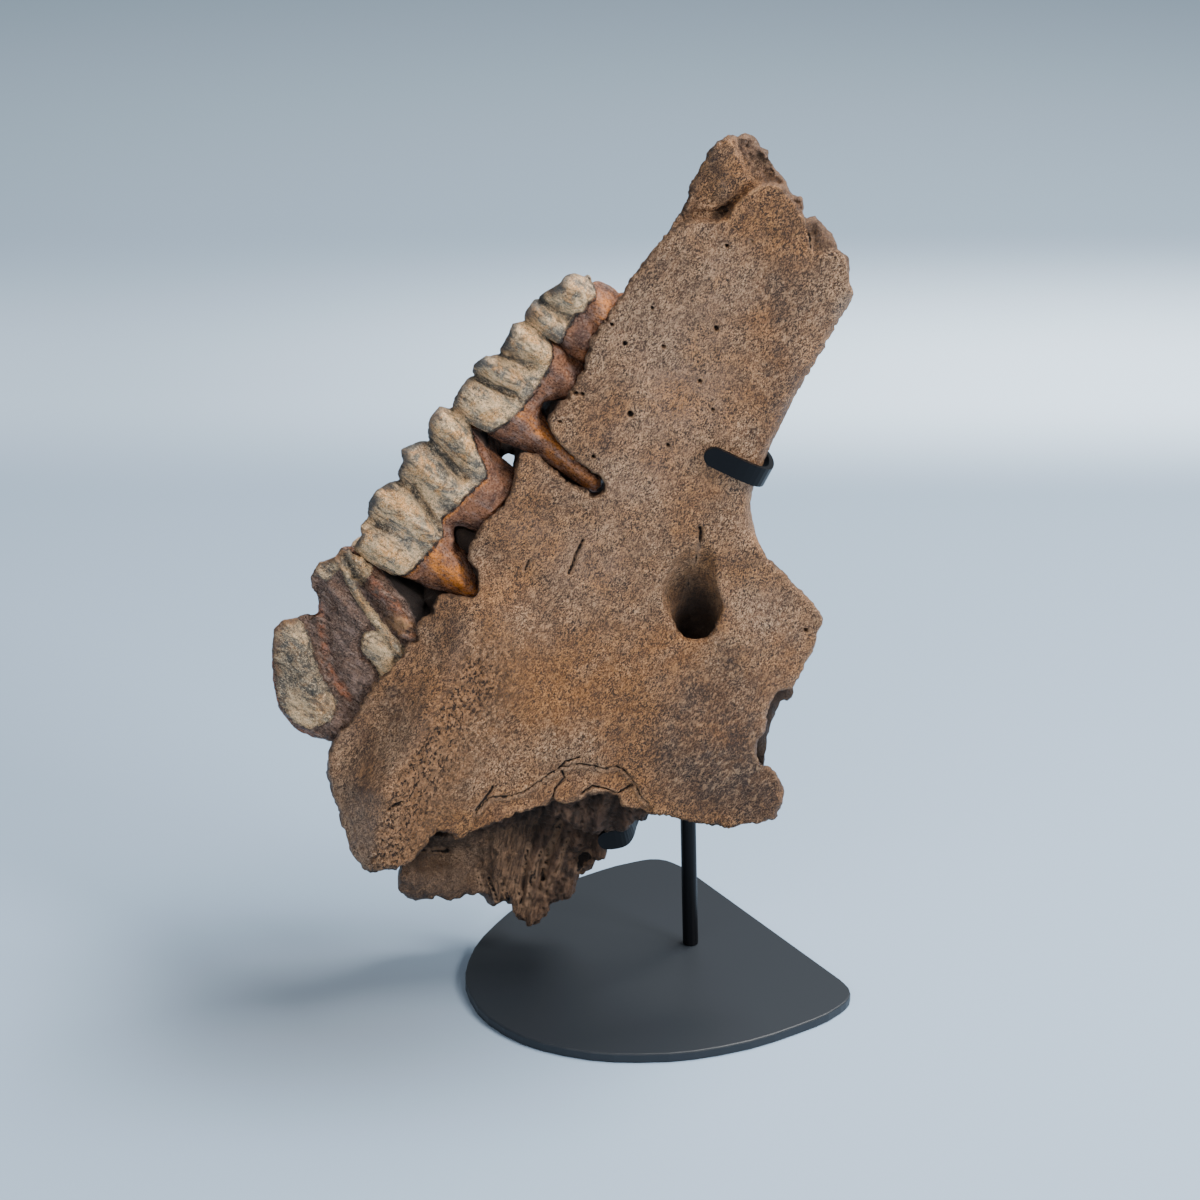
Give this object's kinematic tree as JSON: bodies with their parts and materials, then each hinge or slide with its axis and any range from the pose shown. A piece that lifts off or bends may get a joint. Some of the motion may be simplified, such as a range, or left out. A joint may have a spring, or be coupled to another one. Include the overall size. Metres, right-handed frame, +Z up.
{
  "type": "fossil woolly rhino maxilla",
  "caption": "Broken piece of a fossil woolly rhino's left upper jaw, its cheek teeth standing out in a slanting row, held upright on a black steel stand with two bent claws.",
  "frame": {"origin": "on the underside of the base plate, below the foot of the rod", "axes": "+Z up; the bone's outer face looks along -Y and the teeth point towards -X; +X right as seen from the front"},
  "size_m": [0.1799, 0.1364, 0.2801],
  "materials": {
    "bone": "matt, grained and porous fossil bone",
    "tooth": "glossy cream and blue-grey enamel on red-brown roots",
    "steel": "satin black"
  },
  "bodies": {
    "root": {"maxilla": "bone", "tooth_premolar_front": "tooth", "tooth_premolar_rear": "tooth", "tooth_first_molar": "tooth", "tooth_second_molar": "tooth", "stand_base": "steel", "stand_rod": "steel", "upper_claw": "steel", "lower_claw": "steel"}
  },
  "joints": []
}
